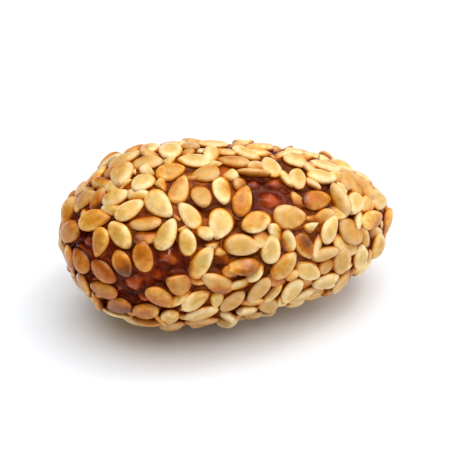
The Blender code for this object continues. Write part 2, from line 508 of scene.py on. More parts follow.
class SharedEffect:
    """A shader node group that several finishes use."""

    def __init__(self, name: str, inputs: dict[str, Given | None], outputs: dict[str, str]) -> None:
        """Opens the group.

        Args:
            name: The group's name.
            inputs: Each input's first value: a number, a colour, or None for a vector.
            outputs: Each output's kind, Float or Color.
        """
        self.tree = bpy.data.node_groups.new(name, "ShaderNodeTree")
        for label, value in inputs.items():
            kind = {type(None): "Vector", tuple: "Color"}.get(type(value), "Float")
            made = self.tree.interface.new_socket(label, in_out="INPUT", socket_type=f"NodeSocket{kind}")
            if value is not None:
                made.default_value = value
        for label, kind in outputs.items():
            self.tree.interface.new_socket(label, in_out="OUTPUT", socket_type=f"NodeSocket{kind}")
        self.sheet = NodeSheet(self.tree)
        self.given = self.tree.nodes.new("NodeGroupInput").outputs
        self.result = self.tree.nodes.new("NodeGroupOutput").inputs

    def noise(self, scale: Socket, inputs: dict[str | int, Given], **settings: object) -> Socket:
        """Blender's noise at the group's own place."""
        inputs = {"Vector": self.given["Place"], "Scale": scale, **inputs}
        return self.sheet.add("ShaderNodeTexNoise", inputs, **settings).outputs[0]

    def put(self, label: str, value: Socket) -> None:
        """Sends a value to one of the group's outputs."""
        self.tree.links.new(value, self.result[label])


def mottle_effect(roughness: float = 0.58) -> bpy.types.NodeTree:
    """Makes soft irregular spots: 0 and 1 with a smooth edge between them.

    Args:
        roughness: How ragged their outlines are.

    Returns:
        The group.
    """
    effect = SharedEffect(
        "food_mottle",
        {"Place": None, "Scale": 1000.0, "Detail": 3.0, "Middle": 0.5, "Softness": 0.12, "Variant": 0.0},
        {"Mask": "Float"},
    )
    sheet, given = effect.sheet, effect.given
    look = {"W": given["Variant"], "Detail": given["Detail"], "Roughness": roughness}
    spots = effect.noise(given["Scale"], look, noise_dimensions="4D")
    low = sheet.math(Sum.TAKE, given["Middle"], given["Softness"])
    high = sheet.math(Sum.ADD, given["Middle"], given["Softness"])
    effect.put("Mask", sheet.rise(spots, low, high))
    return effect.tree


def relief_effect(broad_detail: float = 2.0, fine_detail: float = 3.0) -> bpy.types.NodeTree:
    """Makes low surface relief: broad waves with finer ones on them.

    Args:
        broad_detail: Octaves of the broad waves.
        fine_detail: Octaves of the fine ones.

    Returns:
        The group.
    """
    effect = SharedEffect(
        "food_relief",
        {"Place": None, "Broad Scale": 900.0, "Fine Scale": 4200.0, "Fine Share": 0.35},
        {"Height": "Float"},
    )
    broad = effect.noise(effect.given["Broad Scale"], {"Detail": broad_detail})
    fine = effect.noise(effect.given["Fine Scale"], {"Detail": fine_detail})
    part = effect.sheet.math(Sum.TIMES, fine, effect.given["Fine Share"])
    effect.put("Height", effect.sheet.math(Sum.ADD, broad, part))
    return effect.tree


def caramel_effect(
    staining: tuple[float, float] = (0.0, 0.55), hiding: tuple[float, float] = (0.35, 1.0)
) -> bpy.types.NodeTree:
    """Lays caramel over a colour: amber where it is thin, and dark red-brown where it is thick.

    Args:
        staining: Thicknesses between which it stains what is under it.
        hiding: Thicknesses between which it comes to hide what is under it.

    Returns:
        The group.
    """
    effect = SharedEffect(
        "caramel_film",
        {
            "Under": (1.0, 1.0, 1.0, 1.0),
            "Thickness": 0.5,
            "Thin Tint": (1.0, 1.0, 1.0, 1.0),
            "Thick Colour": (0.0, 0.0, 0.0, 1.0),
        },
        {"Color": "Color", "Gloss": "Float"},
    )
    sheet, given = effect.sheet, effect.given
    thin = sheet.rise(given["Thickness"], *staining)
    thick = sheet.rise(given["Thickness"], *hiding)
    stain = sheet.add("ShaderNodeGamma", {"Color": given["Thin Tint"], "Gamma": thin})
    tinted = sheet.mix(1.0, given["Under"], stain.outputs["Color"], Blend.TINT)
    effect.put("Color", sheet.mix(thick, tinted, given["Thick Colour"]))
    effect.put("Gloss", thin)
    return effect.tree


@dataclass(frozen=True)
class Effects:
    """The shader node groups that the finishes share."""

    mottle: bpy.types.NodeTree = field(default_factory=mottle_effect)
    relief: bpy.types.NodeTree = field(default_factory=relief_effect)
    caramel: bpy.types.NodeTree = field(default_factory=caramel_effect)


@dataclass(frozen=True)
class Mottle:
    """The look of one finish's irregular spots."""

    scale: float
    softness: float
    middle: float = 0.5
    detail: float = 3.0
    variant: float = 0.0


@dataclass(frozen=True)
class Relief:
    """The look of one finish's low relief."""

    broad_scale: float
    fine_scale: float
    depth: float
    strength: float


class FinishSheet(NodeSheet):
    """The nodes of one finish, with the shared effects at hand."""

    def __init__(self, name: str, effects: Effects) -> None:
        """Opens the finish's material.

        Args:
            name: The material's name.
            effects: The shared node groups.
        """
        self.material = bpy.data.materials.new(name)
        self.material.use_nodes = True
        super().__init__(self.material.node_tree)
        self.effects = effects
        self.place = self.add("ShaderNodeTexCoord", {}).outputs["Object"]

    def spots(self, mottle: Mottle) -> Socket:
        """Lays irregular spots on the surface.

        Args:
            mottle: Their look.

        Returns:
            1 on a spot and 0 off it.
        """
        inputs = {
            "Place": self.place,
            "Scale": mottle.scale,
            "Detail": mottle.detail,
            "Middle": mottle.middle,
            "Softness": mottle.softness,
            "Variant": mottle.variant,
        }
        return self.group(self.effects.mottle, inputs).outputs["Mask"]

    def normal(self, relief: Relief) -> Socket:
        """Lays low relief on the surface.

        Args:
            relief: Its look.

        Returns:
            The normal of the uneven surface.
        """
        scales = {"Broad Scale": relief.broad_scale, "Fine Scale": relief.fine_scale}
        height = self.group(self.effects.relief, {"Place": self.place, **scales}).outputs["Height"]
        inputs = {"Height": height, "Distance": relief.depth, "Strength": relief.strength}
        return self.add("ShaderNodeBump", inputs).outputs["Normal"]

    def finish(self, look: dict[str | int, Given]) -> bpy.types.Material:
        """Gives the surface its look, and hands the material over."""
        self.feed(self.tree.nodes["Principled BSDF"], look)
        return self.material


@dataclass(frozen=True)
class GlazeFinish:
    """Boiled sugar glaze: deep red-brown and glossy, orange where it thins towards a seed, and with a
    painted glow in each drop.
    """

    pool: Colour = colour("3e0c02")
    warm: Colour = colour("882c05")
    plum: Colour = colour("500e08")
    honey: Colour = colour("683206")
    # painted glow: the lighter orange-red inside each drop
    lit: Colour = colour("b44a10")
    amber: Colour = colour("b0540a")
    warm_spots: Mottle = Mottle(scale=420.0, softness=0.16)
    plum_spots: Mottle = Mottle(scale=1500.0, softness=0.1, middle=0.56, variant=3.0)
    smears: Mottle = Mottle(scale=900.0, softness=0.2, variant=7.0)
    honey_by_depth: Ramp = (0.0, 0.20, (0.8, 0.0))
    amber_by_thinness: Ramp = (0.1, 0.9, (0, 0.85))
    glow_by_plum: Ramp = (0.0, 1.0, (1.0, 0.6))
    lit_by_glow: Ramp = (0.0, 1.0, (0, 0.85))
    roughness_by_smear: Ramp = (0.0, 1.0, (0.1, 0.32))
    coat_by_drop: Ramp = (0.0, 0.6, (0.08, 0.6))
    coat_roughness: float = 0.05
    specular: float = 0.12
    glint: Colour = (1.0, 0.45, 0.22, 1.0)
    relief: Relief = Relief(broad_scale=1300.0, fine_scale=4600.0, depth=0.08 * MM, strength=0.6)

    def make(self, effects: Effects) -> bpy.types.Material:
        """Builds the material.

        Args:
            effects: The shared node groups.

        Returns:
            The material.
        """
        sheet = FinishSheet("sugar_glaze", effects)
        depth = sheet.attribute(Layer.GLAZE_DEPTH)
        drop = sheet.attribute(Layer.GLAZE_DROP)
        plum = sheet.spots(self.plum_spots)
        smear = sheet.spots(self.smears)
        ground = sheet.mix(sheet.spots(self.warm_spots), self.pool, self.warm)
        ground = sheet.mix(sheet.rise(depth, *self.honey_by_depth), ground, self.honey)
        ground = sheet.mix(plum, ground, self.plum)
        thin = sheet.math(Sum.TIMES, sheet.attribute(Layer.GLAZE_THIN), smear)
        ground = sheet.mix(sheet.rise(thin, *self.amber_by_thinness), ground, self.amber)
        # painted glow in the drops, weaker on plum spots
        glow = sheet.math(Sum.TIMES, drop, sheet.rise(plum, *self.glow_by_plum))
        ground = sheet.mix(sheet.rise(glow, *self.lit_by_glow), ground, self.lit)
        look = {
            "Base Color": ground,
            "Roughness": sheet.rise(smear, *self.roughness_by_smear),
            "Normal": sheet.normal(self.relief),
            "Specular IOR Level": self.specular,
            "Specular Tint": self.glint,
            "Coat Weight": sheet.rise(drop, *self.coat_by_drop),
            "Coat Roughness": self.coat_roughness,
        }
        return sheet.finish(look)


@dataclass(frozen=True)
class SeedFinish:
    """Toasted sesame: pale gold with a cream rim that is partly painted highlight, a duller middle, painted
    shade low on its sides, and caramel where it meets the glaze, partly painted shade.
    """

    middle: Colour = colour("d8b062")
    # partly painted highlight: the cream is the seed's pale rim and also light on its upper face
    rim: Colour = colour("f7d8a0")
    # painted shade: the darker colour of each seed from its shoulder down to its underside
    side: Colour = colour("b06c0e")
    toasted: Colour = colour("c07c20")
    tip: Colour = colour("8c4a0a")
    amber: Colour = colour("e0962a")
    # thick caramel; at the foot of each seed it is also painted shade
    dark: Colour = colour("4c1601")
    rim_and_highlight_by_edge: Ramp = (0.08, 0.60, (0, 1))
    painted_shade_by_edge: Ramp = (0.62, 0.92, (0, 1))
    toasted_by_tone: Ramp = (0.45, 1.0, (0, 0.65))
    tip_by_place: Ramp = (0.72, 1.0, (0, 0.6))
    blotches: Mottle = Mottle(scale=1700.0, softness=0.2, detail=4.0)
    shade_by_blotch: Ramp = (0.0, 1.0, (0.86, 1.06))
    ragged_edge: Mottle = Mottle(scale=1500.0, softness=0.3, detail=2.0, variant=5.0)
    depth_by_ragged_edge: Ramp = (0.0, 1.0, (-0.11, 0.10))
    roughness_by_gloss: Ramp = (0.0, 1.0, (0.38, 0.24))
    coat_by_gloss: Ramp = (0.0, 1.0, (0.02, 0.12))
    coat_roughness: float = 0.12
    specular: float = 0.5
    glint: Colour = (1.0, 0.88, 0.68, 1.0)
    relief: Relief = Relief(broad_scale=1900.0, fine_scale=6800.0, depth=0.03 * MM, strength=0.5)

    def make(self, effects: Effects) -> bpy.types.Material:
        """Builds the material.

        Args:
            effects: The shared node groups.

        Returns:
            The material.
        """
        sheet = FinishSheet("sesame_coat", effects)
        ground = self.middle
        for layer, ramp, tint in (
            # a pale rim over the upper face, partly painted highlight
            (Layer.SEED_EDGE, self.rim_and_highlight_by_edge, self.rim),
            # painted shade low on the seed
            (Layer.SEED_EDGE, self.painted_shade_by_edge, self.side),
            (Layer.SEED_TONE, self.toasted_by_tone, self.toasted),
            (Layer.SEED_ALONG, self.tip_by_place, self.tip),
        ):
            ground = sheet.mix(sheet.rise(sheet.attribute(layer), *ramp), ground, tint)
        shade = sheet.rise(sheet.spots(self.blotches), *self.shade_by_blotch)
        grey = sheet.add("ShaderNodeCombineColor", dict.fromkeys(range(3), shade)).outputs[0]
        ground = sheet.mix(1.0, ground, grey, Blend.TINT)
        ragged = sheet.rise(sheet.spots(self.ragged_edge), *self.depth_by_ragged_edge)
        depth = sheet.math(Sum.ADD, sheet.attribute(Layer.GLAZE_DEPTH), ragged)
        film = sheet.group(
            effects.caramel,
            {"Under": ground, "Thickness": depth, "Thin Tint": self.amber, "Thick Colour": self.dark},
        )
        look = {
            "Base Color": film.outputs["Color"],
            "Roughness": sheet.rise(film.outputs["Gloss"], *self.roughness_by_gloss),
            "Normal": sheet.normal(self.relief),
            "Specular IOR Level": self.specular,
            "Specular Tint": self.glint,
            "Coat Weight": sheet.rise(film.outputs["Gloss"], *self.coat_by_gloss),
            "Coat Roughness": self.coat_roughness,
        }
        return sheet.finish(look)


@dataclass(frozen=True)
class FloorFinish:
    """Matt white studio board."""

    white: Colour = (0.85, 0.885, 0.93, 1.0)
    grey: Colour = (0.83, 0.865, 0.91, 1.0)
    clouds: Mottle = Mottle(scale=12.0, softness=0.3)
    roughness: float = 0.6

    def make(self, effects: Effects) -> bpy.types.Material:
        """Builds the material.

        Args:
            effects: The shared node groups.

        Returns:
            The material.
        """
        sheet = FinishSheet("white_board", effects)
        tint = sheet.mix(sheet.spots(self.clouds), self.white, self.grey)
        return sheet.finish({"Base Color": tint, "Roughness": self.roughness})


# ---------------------------------------------------------------------------------------------------------
# Pieces
# ---------------------------------------------------------------------------------------------------------


def as_mesh(mesh: BMesh, name: str) -> bpy.types.Mesh:
    """Turns a finished bmesh into a mesh.

    Args:
        mesh: The bmesh, which is freed.
        name: The mesh's name.

    Returns:
        The mesh.
    """
    data = bpy.data.meshes.new(name)
    mesh.to_mesh(data)
    mesh.free()
    return data


def carry(data: bpy.types.Mesh, layers: dict[Layer, Array]) -> None:
    """Gives a mesh's corners the values that its finish reads."""
    for layer, values in layers.items():
        data.attributes.new(layer.value, "FLOAT", "POINT").data.foreach_set("value", values)


def link_piece(data: bpy.types.Mesh, material: bpy.types.Material) -> bpy.types.Object:
    """Makes a smooth object at the origin.

    Args:
        data: Its mesh.
        material: Its one material.

    Returns:
        The object.
    """
    data.materials.append(material)
    data.shade_smooth()
    piece = bpy.data.objects.new(data.name, data)
    bpy.context.scene.collection.objects.link(piece)
    return piece


def subdivide(piece: bpy.types.Object, levels: int = 1) -> None:
    """Rounds a piece with a Subdivision Surface."""
    rounding = piece.modifiers.new("rounding", "SUBSURF")
    rounding.levels = rounding.render_levels = levels


def stand_for_almond(piece: bpy.types.Object) -> None:
    """Says that a piece stands for the plain almond.

    Args:
        piece: The piece.
    """
    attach(piece, BODY)
    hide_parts(ALMOND_NODE)


def distances_to_seeds(points: Array, seeds: list[LaidSeed]) -> Array:
    """Measures how far points are from the seeds.

    Args:
        points: Points in the body's own axes.
        seeds: The laid seeds.

    Returns:
        The distance from each point to the nearest seed, less than 0 inside one.
    """
    nearest = np.full(len(points), np.inf)
    for seed in seeds:
        local = (points - seed.middle) @ np.array(seed.axes)
        radial = np.linalg.norm(local / (seed.size / 2), axis=1) + TINY
        nearest = np.minimum(nearest, np.linalg.norm(local, axis=1) * (1 - 1 / radial))
    return nearest


@dataclass(frozen=True)
class Syrup:
    """Where the glaze ran thick over the almond, one patch of it partly painted shade, and the round drops
    that it left where it is bare.

    A patch is a share of the length from the blunt end, a turn about X from +Z towards -Y in degrees, a
    radius, and how thick the glaze is in its middle. A drop has a height in its place.
    """

    form: AlmondForm
    patches: tuple[tuple[float, float, float, float], ...] = (
        # partly painted shade: this patch at the blunt end also darkens the glaze and the seeds there
        (0.02, 62, 4.6 * MM, 0.50),
        (0.16, 94, 3.3 * MM, 0.60),
        (0.28, 66, 1.8 * MM, 0.26),
        (0.60, 25, 2.0 * MM, 0.45),
        (0.46, 78, 1.2 * MM, 0.22),
        (0.55, 250, 3.0 * MM, 0.45),
        (0.25, 200, 2.6 * MM, 0.35),
    )
    drops: tuple[tuple[float, float, float, float], ...] = (
        (0.590, 32, 1.10 * MM, 0.52 * MM),
        (0.622, 16, 0.80 * MM, 0.40 * MM),
        (0.555, 17, 0.60 * MM, 0.30 * MM),
        (0.150, 86, 1.00 * MM, 0.50 * MM),
        (0.188, 100, 0.80 * MM, 0.42 * MM),
        (0.105, 97, 0.60 * MM, 0.34 * MM),
        (0.245, 62, 0.80 * MM, 0.40 * MM),
        (0.264, 77, 0.60 * MM, 0.32 * MM),
        (0.035, 44, 0.60 * MM, 0.32 * MM),
        (0.362, 51, 0.50 * MM, 0.30 * MM),
    )
    drop_fullness: float = 1.5

    def away(self, points: Array, share: float, turn_deg: float, radius: float) -> Array:
        """Distances of points from a patch's middle, in its radii."""
        middle = self.form.points(self.form.patch_direction(share, turn_deg)[None, :])[0]
        return np.linalg.norm(points - middle, axis=1) / radius

    def depths(self, points: Array) -> Array:
        """Finds how thick the glaze is.

        Args:
            points: Points in the body's own axes.

        Returns:
            A thickness at each: 1 is enough to hide a seed.
        """
        total = np.zeros(len(points))
        for *patch, thickness in self.patches:
            total += thickness * np.exp(-self.away(points, *patch) ** 2)
        return total

    def drop_heights(self, points: Array) -> Array:
        """Finds how high the round drops stand on the glaze.

        Args:
            points: Points in the body's own axes.

        Returns:
            A height at each.
        """
        total = np.zeros(len(points))
        for *drop, height in self.drops:
            dome = np.clip(1 - self.away(points, *drop) ** 2, 0, 1)
            total = np.maximum(total, height * dome**self.drop_fullness)
        return total


@dataclass(frozen=True)
class SugarGlaze:
    """The glaze round the almond, which climbs a little way up every seed.

    Its own unevenness is broad lumps, fine ripples, and beads where no seed lies near.
    """

    form: AlmondForm
    syrup: Syrup
    seeds: list[LaidSeed]
    finish: GlazeFinish = GlazeFinish()
    fineness: int = 7
    lowered: float = 0.24 * MM
    climb: float = 0.29 * MM
    climb_reach: float = 0.27 * MM
    thin_reach: float = 0.15 * MM
    lump: float = 0.06 * MM
    lump_pitch: float = 1.5 * MM
    lump_fading: float = 1.0
    lump_steps: float = 2.0
    lump_octaves: int = 2
    ripple: float = 0.025 * MM
    ripple_pitch: float = 0.5 * MM
    bead: float = 0.42 * MM
    bead_pitch: float = 1.1 * MM
    bead_clear: tuple[float, float] = (0.25 * MM, 0.85 * MM)
    full_bead: float = 0.5
    bead_thinness: float = 0.8
    tall_drop: float = 0.42 * MM

    def unevenness(self, points: Array, gaps: Array) -> tuple[Array, Array]:
        """Height of the glaze's own lumps and ripples, and of the beads where no seed lies.

        Args:
            points: Points of the almond's surface.
            gaps: How far each is from the nearest seed.

        Returns:
            A height for each point, and how much of a bead it is on, up to about 1.
        """
        waves = (self.lump_fading, self.lump_steps, self.lump_octaves)
        lumps = [noise.fractal(Vector(point) / self.lump_pitch, *waves) for point in points]
        ripples = [noise.noise(Vector(point) / self.ripple_pitch) for point in points]
        beads = [max(noise.noise(Vector(point) / self.bead_pitch), 0) for point in points]
        beads = np.array(beads) * smooth_step(gaps, *self.bead_clear)
        heights = self.lump * np.array(lumps) + self.ripple * np.array(ripples) + self.bead * beads
        return heights, beads / self.full_bead

    def build(self, effects: Effects) -> bpy.types.Object:
        """Builds the glaze as one closed skin.

        Args:
            effects: The shared node groups.

        Returns:
            The piece.
        """
        mesh = bmesh.new()
        bmesh.ops.create_icosphere(mesh, subdivisions=self.fineness, radius=1)
        directions = unit(np.array([vert.co for vert in mesh.verts]))
        points = self.form.points(directions)
        gaps = distances_to_seeds(points, self.seeds)
        clear = smooth_step(gaps, 0.0, self.climb_reach)
        uneven, beads = self.unevenness(points, gaps)
        drops = self.syrup.drop_heights(points) * clear
        lift = self.climb * (1 - clear) - self.lowered + uneven + drops
        thin = 1 - smooth_step(gaps, -self.thin_reach / 2, self.thin_reach)
        layers = {
            Layer.GLAZE_THIN: np.maximum(thin, beads * self.bead_thinness),
            Layer.GLAZE_DEPTH: self.syrup.depths(points),
            Layer.GLAZE_DROP: drops / self.tall_drop,
        }
        points += self.form.normals(directions) * lift[:, None]
        for vert, point in zip(mesh.verts, points):
            vert.co = point
        bmesh.ops.transform(mesh, matrix=self.form.rest_matrix(), verts=mesh.verts)
        for vert in mesh.verts:
            vert.co.z = max(vert.co.z, 0.0)
        data = as_mesh(mesh, "sugar_glaze")
        carry(data, layers)
        piece = link_piece(data, self.finish.make(effects))
        stand_for_almond(piece)
        return piece


class SeedKind(Enum):
    """How much of a seed is left: all of it, or the side of its middle that this direction keeps."""

    WHOLE = 0
    POINTED_HALF = 1
    BLUNT_HALF = -1


@dataclass(frozen=True)
class Section:
    """A level ring of a seed.

    Attributes:
        share: Its share of the outline.
        level: Its height, from -1 under the seed to 1 on top of it.
        spot: Its share of the island in the bake map.
        edge: How far it is from the middle of the upper face (0) past the rim (0.5) to below (1).
    """

    share: float
    level: float
    spot: float
    edge: float


@dataclass(frozen=True)
class Island:
    """A seed's own part of the bake map, by its middle and its half size each way."""

    x: float
    y: float
    wide: float
    high: float

    def spot(self, right: float, up: float) -> tuple[float, float]:
        """Where a place from about -1 to 1 each way falls on the map."""
        return (self.x + self.wide * right, self.y + self.high * up)


@dataclass(frozen=True)
class SeedMould:
    """Shapes one seed, 2 units each way: a plump drop with a rim round its slightly sunken upper face."""

    sides: int = 12
    pointedness: float = 0.42
    draw_out: float = 1.05
    cut_at: float = -0.12
    cut_slant: tuple[float, float] = (0.35, 0.1)
    cut_crease: float = 0.7
    widest: int = 1
    sections: tuple[Section, ...] = (
        Section(0.62, -0.94, 0.62, 1.0),
        Section(1.00, -0.16, 1.0, 0.85),
        Section(0.93, 0.44, 0.80, 0.64),
        Section(0.70, 0.88, 0.57, 0.42),
        Section(0.36, 1.12, 0.30, 0.12),
    )
    top_island: Island = Island(0.5, 0.31, wide=0.46, high=0.28)
    low_island: Island = Island(0.31, 0.80, wide=0.28, high=0.17)
    break_island: Island = Island(0.79, 0.80, wide=0.16, high=0.14)

    def outline(self, place: Vector) -> Vector:
        """Finds a point of the drop-shaped outline.

        Args:
            place: Any point on the way out to it. The pointed end is towards +X.

        Returns:
            The point, from -1 to 1 each way.
        """
        angle = math.atan2(place.y, place.x)
        power = self.pointedness + 1
        pinch = abs(math.sin(angle / 2)) ** self.pointedness
        # How far the pinched circle reaches to either side, so that the outline reaches 1.
        widest = 2 * math.sqrt(power**power / (power + 1) ** (power + 1))
        return Vector((math.cos(angle), math.sin(angle) * pinch / widest))

    def stack(self, mesh: BMesh) -> None:
        """Stacks the seed's rings as plain circles, joins them and closes both ends.

        The rings are bridged, not extruded, because an extrusion's faces come in a new order every run.

        Args:
            mesh: An empty bmesh. Its layer "ring" gets each corner's ring number.
        """
        number = mesh.verts.layers.int.new("ring")
        for ring, section in enumerate(self.sections):
            level = Matrix.Translation((0, 0, section.level))
            circle = bmesh.ops.create_circle(mesh, segments=self.sides, radius=1, matrix=level)
            for corner in circle["verts"]:
                corner[number] = ring
        bmesh.ops.bridge_loops(mesh, edges=mesh.edges)
        bmesh.ops.holes_fill(mesh, edges=mesh.edges, sides=0)

    def lay_map(self, mesh: BMesh) -> None:
        """Lays the upper side and the lower side beside each other on the bake map.

        Args:
            mesh: A stacked seed, with its rings still plain circles.
        """
        number = mesh.verts.layers.int["ring"]
        uv = mesh.loops.layers.uv.new(BAKE_MAP)
        for face in mesh.faces:
            low = any(vert[number] < self.widest for vert in face.verts)
            island = self.low_island if low else self.top_island
            for loop in face.loops:
                flat = self.outline(loop.vert.co) * self.sections[loop.vert[number]].spot
                loop[uv].uv = island.spot(flat.x, flat.y)

    def break_off(self, mesh: BMesh, keep: int) -> None:
        """Breaks the seed across, and closes the break with a face that has its own island of the bake map.

        Args:
            mesh: A whole seed.
            keep: 1 to keep the pointed end, or -1 for the blunt one.
        """
        crease = mesh.edges.layers.float.new("crease_edge")
        cut = bmesh.ops.bisect_plane(
            mesh,
            geom=[*mesh.verts, *mesh.edges, *mesh.faces],
            plane_co=(self.cut_at, 0, 0),
            plane_no=(-keep, *self.cut_slant),
            clear_outer=True,
        )["geom_cut"]
        rim = [part for part in cut if isinstance(part, BMEdge)]
        for part in rim:
            part[crease] = self.cut_crease
        uv = mesh.loops.layers.uv[BAKE_MAP]
        for face in bmesh.ops.holes_fill(mesh, edges=rim, sides=0)["faces"]:
            for loop in face.loops:
                loop[uv].uv = self.break_island.spot(loop.vert.co.y, loop.vert.co.z)

    def make(self, kind: SeedKind) -> bpy.types.Mesh:
        """Makes the seed's mesh.

        Args:
            kind: Which part of the seed is wanted.

        Returns:
            The mesh, with its place on the seed in its layers.
        """
        mesh = bmesh.new()
        self.stack(mesh)
        self.lay_map(mesh)
        number = mesh.verts.layers.int["ring"]
        edge = mesh.verts.layers.float.new(Layer.SEED_EDGE.value)
        along = mesh.verts.layers.float.new(Layer.SEED_ALONG.value)
        for vert in mesh.verts:
            section = self.sections[vert[number]]
            flat = self.outline(vert.co) * section.share * self.draw_out
            vert.co = (flat.x, flat.y, section.level)
            vert[edge] = section.edge
            vert[along] = flat.x
        bmesh.ops.recalc_face_normals(mesh, faces=mesh.faces)
        if kind is not SeedKind.WHOLE:
            self.break_off(mesh, kind.value)
        return as_mesh(mesh, "seed_mould")


@dataclass(frozen=True)
class SeedPiece:
    """A kind of seed, as one mesh with a fine shape in each laid seed's place.

    Each seed is bent, leant and dished in its own way. Some are dipped in the glaze or splashed with it.
    """

    name: str
    form: AlmondForm
    syrup: Syrup
    seeds: list[LaidSeed]
    kind: SeedKind = SeedKind.WHOLE
    mould: SeedMould = SeedMould()
    bend: float = 0.10
    bend_level: float = 0.3
    side_bend: float = 0.06
    taper: float = 0.12
    dish: float = 0.16
    dish_reach: float = 0.75
    wobble: float = 0.030
    # heights over which the film low on a seed fades: partly painted shade
    wet_and_shade_heights: tuple[float, float] = (0.0 * MM, 0.44 * MM)
    dipped_share: float = 0.16
    dip: tuple[float, float] = (0.10, 0.36)
    dip_evenness: float = 0.55
    splash: float = 0.72
    splash_rarity: int = 3
    splash_band: tuple[float, float] = (0.1, 1.1)
    splash_spread: tuple[float, float, float] = (1, 1, 0.4)
    random_seed: int = 23

    def shape(self, mould: Array, rng: np.random.Generator) -> Array:
        """Gives one seed its own unevenness.

        Args:
            mould: Corners of the mould.
            rng: Source of the unevenness.

        Returns:
            The corners moved.
        """
        x, y, z = mould.T
        bend, lean, taper, dish = rng.normal(size=4)
        phase = rng.uniform(0, 2 * math.pi, 4)
        turn = np.arctan2(y, x)
        swell = 1 + self.wobble * (np.sin(2 * turn + phase[0]) + np.sin(3 * turn + phase[1]))
        hollow = np.clip(1 - np.hypot(x, y) / self.dish_reach, 0, 1) * (z > 0)
        return np.column_stack(
            (
                x * (1 + self.wobble * np.sin(2 * z + phase[2])),
                y * swell * (1 - self.taper * taper * x) + self.side_bend * lean * x * x,
                z - self.bend * bend * (x * x - self.bend_level) + self.dish * dish * hollow,
            )
        )

    def wetness_and_shade(self, points: Array, local: Array, rng: np.random.Generator) -> Array:
        """How thick the glaze lies over one seed's corners: 1 is thick enough to hide it. Low on the seed
        it is partly painted shade.

        Args:
            points: The corners on the body.
            local: The same corners in the mould.
            rng: Source of which seeds are dipped or splashed.

        Returns:
            A thickness for each corner.
        """
        # partly painted shade: the film darkens each seed's lower part, nearest the glaze, as well as
        # staining it
        low = 1 - smooth_step(self.form.heights(points), *self.wet_and_shade_heights)
        way = unit(rng.normal(size=3) * self.splash_spread)
        splash = self.splash * rng.random() ** self.splash_rarity
        splashed = smooth_step(local @ way, *self.splash_band) * splash
        dipped = rng.uniform(*self.dip) if rng.random() < self.dipped_share else 0.0
        dipped += self.syrup.depths(points.mean(axis=0, keepdims=True))[0]
        uneven = (1 - self.dip_evenness) * smooth_step(local @ way, -1, 1)
        return np.maximum(low, splashed) + dipped * (self.dip_evenness + uneven)

    def spread_map(self, data: bpy.types.Mesh) -> None:
        """Gives each seed its own cell of the bake map.

        Args:
            data: The mesh of every seed, with one seed's map on each.
        """
        grid = math.ceil(math.sqrt(len(self.seeds)))
        loops = len(data.loops) // len(self.seeds)
        flat = np.empty(len(data.loops) * 2)
        data.uv_layers[BAKE_MAP].data.foreach_get("uv", flat)
        cells = np.repeat(np.arange(len(self.seeds)), loops)
        spots = (flat.reshape(-1, 2) + np.column_stack((cells % grid, cells // grid))) / grid
        data.uv_layers[BAKE_MAP].data.foreach_set("uv", spots.ravel())

    def build(self, material: bpy.types.Material) -> bpy.types.Object:
        """Builds every seed of the kind.

        Args:
            material: Their finish.

        Returns:
            The piece.
        """
        rng = np.random.default_rng(self.random_seed + self.kind.value)
        mould = self.mould.make(self.kind)
        corners = np.array([vert.co for vert in mould.vertices])
        mesh = bmesh.new()
        points, depth, tone = [], [], []
        rest = np.array(self.form.rest_matrix())
        for seed in self.seeds:
            mesh.from_mesh(mould)
            local = self.shape(corners, rng)
            laid = local * seed.size / 2 @ np.array(seed.axes).T + seed.middle
            points.append(laid @ rest[:3, :3].T + rest[:3, 3])
            depth.append(self.wetness_and_shade(laid, local, rng))
            tone.append(np.full(len(corners), rng.random()))
        data = as_mesh(mesh, self.name)
        bpy.data.meshes.remove(mould)
        placed = np.concatenate(points)
        placed[:, 2] = np.maximum(placed[:, 2], 0)
        data.vertices.foreach_set("co", placed.ravel())
        carry(data, {Layer.GLAZE_DEPTH: np.concatenate(depth), Layer.SEED_TONE: np.concatenate(tone)})
        self.spread_map(data)
        data.update()
        piece = link_piece(data, material)
        subdivide(piece)
        stand_for_almond(piece)
        return piece


